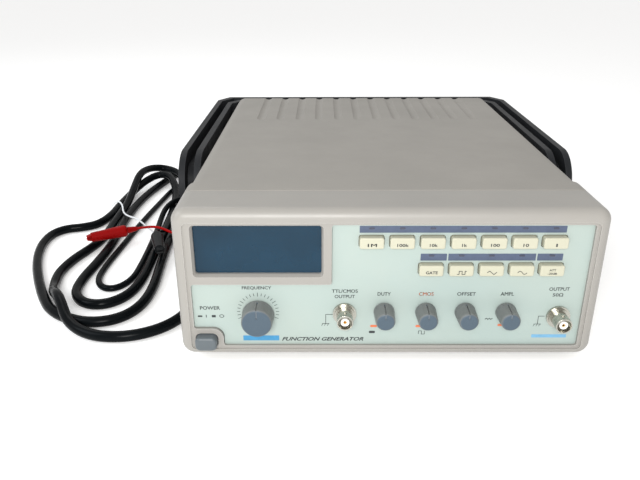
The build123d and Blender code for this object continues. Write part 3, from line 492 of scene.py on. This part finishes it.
ticks.links.new(sum_of(ticks, "ADD", 1.0, sum_of(ticks, "MULTIPLY", fifth, 0.35)), longer.inputs["Z"])
ticks.links.new(laid.outputs["Geometry"], copies.inputs["Points"])
ticks.links.new(stand_up.outputs["Geometry"], copies.inputs["Instance"])
ticks.links.new(to_turn.outputs[0], copies.inputs["Rotation"])
ticks.links.new(longer.outputs["Vector"], copies.inputs["Scale"])
real = ticks.nodes.new("GeometryNodeRealizeInstances")
inked = ticks.nodes.new("GeometryNodeSetMaterial")
inked.inputs["Material"].default_value = black_ink
ticks.links.new(copies.outputs["Instances"], real.inputs["Geometry"])
ticks.links.new(real.outputs["Geometry"], inked.inputs["Geometry"])
ticks.links.new(inked.outputs["Geometry"], result.inputs["Geometry"])
grown("dial_scale", ticks, tick_keys, black_ink, Count=21, Radius=0.0116, Length=0.0019, Width=0.00034,
      Sweep=math.radians(222), Centre=(-0.0767, PANEL * MM, 0.0340))


# ---- display: smoked window and unlit digits ----
# A dark blue acrylic window with a glossy face. Behind it six moulded digit modules show their unlit
# segments only faintly.
def smoked(name, colour, rough):
    """Tinted clear plastic with a faint wiping haze."""
    material, tree, shader = new_material(name)
    shader.inputs["Transmission Weight"].default_value = 0.35
    shader.inputs["IOR"].default_value = 1.49
    shader.inputs["Specular IOR Level"].default_value = 0.10
    cloud = place_group(tree, handling, Patch_size=22.0, Sharpness=0.5)
    deep = tuple(0.62 * c for c in colour)
    tree.links.new(clouded(tree, cloud, colour, deep), shader.inputs["Base Color"])
    tree.links.new(ranged(tree, cloud.outputs["Mask"], rough, rough + 0.08), shader.inputs["Roughness"])
    return material


finish_node("display_lens", smoked("smoked_blue_acrylic", (0.008, 0.048, 0.092), 0.06))
finish_node("display_digits", moulding("digit_black", (0.020, 0.022, 0.026), (0.026, 0.028, 0.032),
                                       (0.04, 0.04, 0.045), 0.6, fineness=1500.0, depth=0.00003))
segment_epoxy = moulding("unlit_segment", (0.16, 0.10, 0.10), (0.14, 0.09, 0.09), (0.2, 0.13, 0.13), 0.5,
                         fineness=2500.0, depth=0.00002)
SEGMENT_FACE = -157.45                        # just in front of the digit modules
DIGIT_PITCH = 11.6
segments = []
mid_z, half_w, half_h = 74.1, 3.2, 6.2
for digit in range(6):
    mid_x = -75.5 + (digit - 2.5) * DIGIT_PITCH
    for z in (mid_z - half_h, mid_z, mid_z + half_h):
        level = [(mid_x - half_w + 0.6, z), (mid_x + half_w - 0.6, z)]
        segments.append(stroke(level, 1.1, y=SEGMENT_FACE))
    for x in (mid_x - half_w, mid_x + half_w):
        for z in (mid_z - half_h / 2, mid_z + half_h / 2):
            upright = [(x, z - half_h / 2 + 0.7), (x, z + half_h / 2 - 0.7)]
            segments.append(stroke(upright, 1.1, y=SEGMENT_FACE))
    foot = mid_z - half_h
    segments.append(patch(mid_x + 4.0, mid_x + 5.2, foot - 0.6, foot + 0.6, y=SEGMENT_FACE, corner=0.5))
printed("digit_segments", segments, segment_epoxy)


# ---- keys with their legends, and the lamps over them ----
# Twelve cream ABS keys with printed legends low on their faces, and a small smoky light-pipe over each.
cream = moulding("cream_key_abs", (0.43, 0.42, 0.325), (0.415, 0.405, 0.31), (0.55, 0.54, 0.44), 0.38,
                 fineness=1800.0, depth=0.00002, sheen_and_wear_width=0.0005)
KEY_FACE = -166.06
UPPER_LEGENDS, LOWER_LEGENDS = 79.0, 61.8     # heights of the legends' middles
key_x = [-10.4 + 17.3 * i for i in range(7)]
legends = {                                   # words, middle, height and width of each legend
    "range_1m": ("1M", key_x[0], UPPER_LEGENDS, 5.0), "range_100k": ("100k", key_x[1], UPPER_LEGENDS, 6.6),
    "range_10k": ("10k", key_x[2], UPPER_LEGENDS, 4.6), "range_1k": ("1k", key_x[3], UPPER_LEGENDS, 2.9),
    "range_100": ("100", key_x[4], UPPER_LEGENDS, 5.0), "range_10": ("10", key_x[5], UPPER_LEGENDS, 3.2),
    "range_1": ("1", key_x[6], UPPER_LEGENDS, 0.9), "gate": ("GATE", key_x[2], LOWER_LEGENDS, 6.8),
}
for name, (text, x, z, width) in legends.items():
    finish_node(name + "_key", cream)
    legend = words(text, x + 0.2, z, width, 1.9, y=KEY_FACE, weight=0.025)
    printed(name + "_legend", [legend], black_ink, name + "_key")
waves = {                                     # the signals' shapes, from each key's middle
    "square": (key_x[3], [(-2.6, -1), (-1.5, -1), (-1.5, 1), (0.2, 1), (0.2, -1), (1.9, -1), (1.9, 1),
                          (2.8, 1)]),
    "triangle": (key_x[4], [(-2.8, 0), (-1.4, 1.1), (1.2, -1.1), (2.8, 0.4)]),
    "sine": (key_x[5], [(0.38 * t - 2.6, math.sin(t * math.pi / 7)) for t in range(15)]),
}
for name, (x, shape) in waves.items():
    finish_node(name + "_key", cream)
    path = [(x + dx, LOWER_LEGENDS + dz) for dx, dz in shape]
    printed(name + "_legend", [stroke(path, 0.4, y=KEY_FACE)], black_ink, name + "_key")
finish_node("attenuator_key", cream)
two_lines = [words("ATT", key_x[6], 63.4, 3.8, 1.3, y=KEY_FACE),
             words("-20dB", key_x[6], 61.2, 5.4, 1.3, y=KEY_FACE)]
printed("attenuator_legend", two_lines, black_ink, "attenuator_key")
finish_node("indicator_lamps", moulding("smoky_light_pipe", (0.030, 0.035, 0.060), (0.045, 0.05, 0.08),
                                        (0.07, 0.08, 0.12), 0.22, fineness=1500.0, depth=0.00001))


# ---- knobs, shafts, pull switches, potentiometers and nuts ----
# Grey soft-feel knobs with fluted sides, pushed on steel shafts. Their front faces are painted darker and
# bluer than the sides, a painted reflection of the sky. A grey line of paint in each knob's slot is its
# pointer.
knob_grey = moulding("knob_grey", (0.150, 0.157, 0.154), (0.136, 0.144, 0.142), (0.20, 0.21, 0.21), 0.42,
                     fineness=1600.0, depth=0.00003, sheen_and_wear_width=0.0005, Specular_IOR_Level=0.3)
tree = knob_grey.node_tree
facing = tree.nodes.new("ShaderNodeTexCoord")
parts = tree.nodes.new("ShaderNodeSeparateXYZ")
tree.links.new(facing.outputs["Normal"], parts.inputs["Vector"])
side_tone = tree.nodes["Principled BSDF"].inputs["Base Color"].links[0].from_socket
# Faces that look to the front get a painted darker, bluer tone: a painted reflection of the sky.
front_facing_mask = ranged(tree, parts.outputs["Y"], 1.0, 0.0, -0.95, -0.6)
face_painted_sky_tint = mixed(tree, front_facing_mask, side_tone, (0.058, 0.084, 0.110))
tree.links.new(face_painted_sky_tint, tree.nodes["Principled BSDF"].inputs["Base Color"])
finish_node("frequency_knob duty_knob cmos_knob offset_knob amplitude_knob", knob_grey)
steel = plated("turned_steel", (0.56, 0.56, 0.55), 0.30, brushing=(60.0, 900.0, 60.0))
finish_node("frequency_shaft duty_shaft cmos_shaft offset_shaft amplitude_shaft", steel)
finish_node("panel_nuts", zinc)
white_nylon = moulding("white_nylon", (0.62, 0.61, 0.57), (0.58, 0.57, 0.53), (0.7, 0.69, 0.66), 0.45)
finish_node("duty_slider cmos_slider offset_slider amplitude_slider", white_nylon)
finish_node("potentiometers", moulding("potentiometer_case", (0.10, 0.14, 0.19), (0.08, 0.12, 0.17),
                                       (0.2, 0.24, 0.28), 0.42))
pointer_paint = screen_ink("pointer_paint", (0.12, 0.14, 0.16), 0.4)
SMALL_KNOB = (34.5, 6.15, -176.0)             # height of the middle, radius, and where the face is
knobs = {"frequency": (-76.7, 32.5, 9.6, -174.0), "duty": (-1.8, *SMALL_KNOB), "cmos": (22.9, *SMALL_KNOB),
         "offset": (46.3, *SMALL_KNOB), "amplitude": (70.5, *SMALL_KNOB)}
for name, (x, z, radius, face) in knobs.items():
    slim = radius - 0.55                      # the knob tapers to this radius at its face
    line = stroke([(x, z + slim * 0.42), (x, z + slim - 0.65)], 0.55, y=face + 0.33)
    printed(name + "_pointer", [line], pointer_paint, name + "_dial")


# ---- power button ----
# A soft grey push button with rounded edges, moulded in one with the long rod that works the mains switch.
button_grey = moulding("button_grey", (0.088, 0.104, 0.115), (0.080, 0.096, 0.107), (0.16, 0.18, 0.20), 0.38,
                       fineness=1500.0, depth=0.00002)
finish_node("power_button", button_grey)


# ---- BNC sockets ----
# Nickel-plated brass shells turned on a lathe, a white PTFE insulator in each and a gold-plated contact.
nickel = plated("bright_nickel", (0.46, 0.45, 0.40), 0.24, brushing=(80.0, 1200.0, 80.0), tarnish=0.82)
finish_node("bnc_sockets", nickel)
ptfe = moulding("ptfe", (0.82, 0.80, 0.76), (0.78, 0.76, 0.72), (0.88, 0.87, 0.84), 0.42)
finish_node("bnc_insulators", ptfe)
finish_node("bnc_contacts", plated("gold_contact", (0.85, 0.62, 0.25), 0.22))


# ---- inside: circuit boards and transformer ----
# Green glass-fibre boards with their parts standing on them, and a mains transformer of bare steel sheets.
board_green = moulding("board_green", (0.030, 0.13, 0.060), (0.025, 0.105, 0.050), (0.20, 0.24, 0.15), 0.38,
                       fineness=600.0, depth=0.00006)
finish_node("main_board front_board", board_green)
transformer_steel = plated("transformer_steel", (0.30, 0.29, 0.28), 0.45, brushing=(40.0, 2500.0, 40.0),
                           depth=0.00005)
finish_node("transformer", transformer_steel)


# ---- mains inlet, cord connector and mains plug ----
# The inlet is hard black plastic; the connector and the plug are soft black PVC moulded on the cord.
inlet_black = moulding("inlet_black", (0.022, 0.022, 0.023), (0.030, 0.030, 0.031), (0.06, 0.06, 0.06), 0.4)
finish_node("mains_inlet", inlet_black)
soft_black = moulding("soft_pvc_black", (0.006, 0.007, 0.008), (0.009, 0.010, 0.011), (0.022, 0.023, 0.025),
                      0.35, fineness=900.0, depth=0.00004, Specular_IOR_Level=0.08)
finish_node("cord_connector mains_plug lead_plug lead_split", soft_black)


# ---- ribs on the strain reliefs ----
# Raised rings moulded round the tapered reliefs of the connector, the plug and the test lead's plug.
relief, given, result, rib_keys = new_geometry("relief_ribs", [
    ("Count", "NodeSocketInt", 6), ("Start", "NodeSocketVector", (0, 0, 0)),
    ("End", "NodeSocketVector", (0, 0, 0)), ("Start radius", "NodeSocketFloat", 0.006),
    ("End radius", "NodeSocketFloat", 0.004), ("Thickness", "NodeSocketFloat", 0.0007)])
spots = relief.nodes.new("GeometryNodeMeshLine")
spots.mode = "END_POINTS"
relief.links.new(given.outputs["Count"], spots.inputs["Count"])
relief.links.new(given.outputs["Start"], spots.inputs["Start Location"])
relief.links.new(given.outputs["End"], spots.inputs["Offset"])
hoop = relief.nodes.new("GeometryNodeCurvePrimitiveCircle")
hoop.inputs["Resolution"].default_value = 40
hoop.inputs["Radius"].default_value = 1.0
section = relief.nodes.new("GeometryNodeCurvePrimitiveCircle")
section.inputs["Resolution"].default_value = 10
relief.links.new(sum_of(relief, "DIVIDE", given.outputs["Thickness"], given.outputs["Start radius"]),
                 section.inputs["Radius"])
rib = relief.nodes.new("GeometryNodeCurveToMesh")
relief.links.new(hoop.outputs["Curve"], rib.inputs["Curve"])
relief.links.new(section.outputs["Curve"], rib.inputs["Profile Curve"])
upright = relief.nodes.new("GeometryNodeTransform")
upright.inputs["Rotation"].default_value = (math.pi / 2, 0.0, 0.0)
relief.links.new(rib.outputs["Mesh"], upright.inputs["Geometry"])
copies = relief.nodes.new("GeometryNodeInstanceOnPoints")
number = relief.nodes.new("GeometryNodeInputIndex")
share = sum_of(relief, "DIVIDE", number.outputs[0], sum_of(relief, "SUBTRACT", given.outputs["Count"], 1.0))
shrink = sum_of(relief, "SUBTRACT", given.outputs["End radius"], given.outputs["Start radius"])
size = sum_of(relief, "MULTIPLY_ADD", share, shrink, given.outputs["Start radius"])
relief.links.new(spots.outputs["Mesh"], copies.inputs["Points"])
relief.links.new(upright.outputs["Geometry"], copies.inputs["Instance"])
relief.links.new(size, copies.inputs["Scale"])
real = relief.nodes.new("GeometryNodeRealizeInstances")
coated = relief.nodes.new("GeometryNodeSetMaterial")
coated.inputs["Material"].default_value = soft_black
relief.links.new(copies.outputs["Instances"], real.inputs["Geometry"])
relief.links.new(real.outputs["Geometry"], coated.inputs["Geometry"])
relief.links.new(coated.outputs["Geometry"], result.inputs["Geometry"])
connector_ribs = grown("connector_ribs", relief, rib_keys, soft_black, Count=7, Start=(-0.080, 0.173, 0.042),
                       End=(-0.080, 0.193, 0.042), Start_radius=0.0063, End_radius=0.0048, Thickness=0.0007)
plug_ribs = grown("plug_ribs", relief, rib_keys, soft_black, Count=7, Start=(-0.144, 0.082, 0.0115),
                  End=(-0.144, 0.063, 0.0115), Start_radius=0.0063, End_radius=0.0048, Thickness=0.0007)
lead_ribs = grown("lead_plug_ribs", relief, rib_keys, soft_black, Count=8, Start=(-0.035, 0.172, 0.042),
                  End=(-0.035, 0.192, 0.042), Start_radius=0.0053, End_radius=0.0036, Thickness=0.0006)


# ---- mains cord ----
# A round cord in glossy black PVC, 7.5 mm thick and 2.2 m long. It drops from the connector behind the case
# and lies beside it in three long loose turns, then runs along the case to its plug.
def jacket(name, colour, gloss):
    """Extruded PVC jacket: glossy, with slow waves from cooling and a film of dust."""
    material, tree, shader = new_material(name)
    shader.inputs["Specular IOR Level"].default_value = 0.05
    cloud = place_group(tree, handling, Patch_size=45.0, Sharpness=0.6)
    waves = place_group(tree, skin_grain, Fineness=110.0, Depth=0.00025)
    dusty = tuple(min(1.0, 1.4 * c + 0.001) for c in colour)
    tree.links.new(clouded(tree, cloud, colour, dusty), shader.inputs["Base Color"])
    tree.links.new(ranged(tree, cloud.outputs["Mask"], gloss, gloss + 0.12), shader.inputs["Roughness"])
    tree.links.new(waves.outputs["Normal"], shader.inputs["Normal"])
    return material


def cable(name, route, thickness, material):
    """A round cable along a smooth line, from route points in millimetres."""
    line = bpy.data.curves.new(name, "CURVE")
    line.dimensions = "3D"
    line.bevel_depth = thickness / 2 * MM
    line.bevel_resolution = 5
    line.resolution_u = 8
    line.use_fill_caps = True
    spline = line.splines.new("NURBS")
    spline.points.add(len(route) - 1)
    for point, (x, y, z) in zip(spline.points, route):
        point.co = (x * MM, y * MM, z * MM, 1.0)
    spline.order_u = 3
    spline.use_endpoint_u = True
    line.materials.append(material)
    piece = bpy.data.objects.new(name, line)
    bpy.context.collection.objects.link(piece)
    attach(piece, "root")
    return piece


black_pvc = jacket("black_pvc_jacket", (0.0020, 0.0028, 0.0034), 0.16)
LIE = 3.75                                    # height of the cord's middle when it lies on the table
mains_route = [
    (-80, 196, 42), (-82, 222, 37), (-96, 246, 22), (-124, 258, 8), (-156, 254, LIE), (-184, 234, LIE),
    (-202, 206, LIE), (-209, 178, LIE),
    # first turn, close to the case
    (-218, 140, LIE), (-222, 100, LIE), (-222, 60, LIE), (-219, 30, LIE), (-217.5, 0, LIE),
    (-218.5, -30, LIE), (-221, -58, LIE), (-219, -82, LIE), (-207, -98, LIE), (-191, -99, LIE),
    (-179, -86, LIE), (-175, -64, LIE), (-176, -30, LIE), (-178, 10, LIE), (-180, 50, LIE), (-183, 90, LIE),
    (-187, 125, 5), (-193, 148, 10), (-203, 170, 12.5), (-216, 174, 12.5),
    # second turn, with the wide bow to the left
    (-228, 160, 9), (-236, 135, 4), (-238, 105, LIE), (-238, 75, LIE), (-243, 52, LIE), (-256, 44, LIE),
    (-269, 41, LIE), (-277, 30, LIE), (-278, 11, LIE), (-273, -13, LIE), (-264, -38, LIE), (-252, -64, LIE),
    (-240, -87, LIE), (-227, -107, LIE), (-210, -119, LIE), (-192, -124, LIE), (-175, -118, LIE),
    (-165, -100, LIE), (-163.5, -72, LIE), (-167, -36, LIE), (-170, 4, LIE), (-172, 42, LIE),
    (-175, 80, LIE), (-178, 115, LIE), (-181, 145, LIE), (-188, 168, 10), (-199, 186, 12), (-215, 193, 14),
    # third turn, between the first two, then out in front of them
    (-227, 182, 17), (-232, 160, 18), (-231, 132, 12), (-230, 100, 5), (-230.5, 60, LIE), (-229, 35, LIE),
    (-229, 15, LIE), (-234, -5, LIE), (-240, -24, LIE), (-242.5, -45, LIE), (-241, -58, LIE),
    (-237, -74, LIE), (-231, -88, 8), (-225, -97, 11.5), (-219, -107, 11.5),
    # along the case to the plug
    (-208, -126, 5), (-189, -140, LIE), (-165, -142, LIE), (-144, -131.5, LIE), (-131.2, -111.5, LIE),
    (-130.8, -86, LIE), (-133.5, -48, LIE), (-138, -8, LIE), (-142, 30, 6), (-144, 61, 11.5),
]
mains = cable("mains_lead", mains_route, 7.5, black_pvc)
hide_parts("mains_cord", "cord_hank", "mains_tail")


# ---- test lead: thin cable, its two wires and their clips ----
# A 5 mm coaxial lead from the rear socket, laid in one long fold against the mains cord. Its moulded split
# gives a red and a black wire, each ending in a small clip in a soft boot.
THIN = 2.5                                    # height of the thin cable's middle when it lies on the table
lead_route = [
    (-35, 194, 42), (-36, 216, 37), (-46, 234, 24), (-66, 240, 10), (-90, 232, THIN), (-114, 219, THIN),
    (-138, 208, THIN), (-160, 195, THIN), (-178, 177, THIN),
    # the fold
    (-190, 170, THIN), (-197, 150, THIN), (-200, 120, THIN), (-204, 80, THIN), (-207, 40, THIN),
    (-209, 0, THIN), (-211, -35, THIN), (-210, -58, THIN), (-202, -72, THIN), (-191, -72, THIN),
    (-183.5, -58, THIN), (-183, -35, THIN), (-184.5, 0, THIN), (-187, 40, THIN),
    # over the mains cord to the split
    (-189, 62, 4), (-188, 82, 9), (-182, 98, 10.5), (-172, 104, 10.5), (-164, 96, 8), (-162, 80, 3.5),
    (-158.5, 64, 3), (-157.5, 52, 3.4),
]
test_lead = cable("test_lead_cable", lead_route, 5.0, black_pvc)
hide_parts("test_lead")
red_pvc = jacket("red_pvc_jacket", (0.24, 0.002, 0.002), 0.30)
red_route = [(-155.3, 34, 3.4), (-154, 22, 5), (-158, 11, 10), (-167, 9, 13.5), (-178, 18, 14.5),
             (-189, 22.5, 13.5), (-199.1, 19.1, 13.0)]
red_lead = cable("red_lead", red_route, 2.2, red_pvc)
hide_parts("red_wire")
black_route = [(-159.7, 34, 3.4), (-160.2, 26.5, 6.2), (-168.5, 21.5, 9.9), (-178, 18.3, 10.7),
               (-180.4, 11.1, 13.0)]
black_lead = cable("black_lead", black_route, 2.2, black_pvc)
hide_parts("black_wire")
red_boot = moulding("red_boot_pvc", (0.27, 0.002, 0.002), (0.23, 0.002, 0.002), (0.36, 0.010, 0.008), 0.45,
                    fineness=900.0, depth=0.00004, Specular_IOR_Level=0.08)
finish_node("red_clip", red_boot)
finish_node("black_clip", soft_black)


# ---- wire tie over the strands ----
# A thin white wire tie, opened out, that lies across the loops from their outer edge to the clips.
TIE_REST = 9.4                                # height of its middle where it lies on the strands
tie_white = jacket("tie_white", (0.62, 0.64, 0.66), 0.45)
tie_route = [(-248, 106, 1.2), (-245, 105, 5.0), (-239, 101, 8.6), (-231, 88, TIE_REST),
             (-225, 68, TIE_REST), (-218, 58, TIE_REST), (-208, 52, TIE_REST), (-200, 41, TIE_REST),
             (-193, 31, TIE_REST), (-185.5, 20, TIE_REST), (-179, 8, 9.2), (-176, -4, 8.6)]
tie = cable("wire_tie", tie_route, 1.5, tie_white)
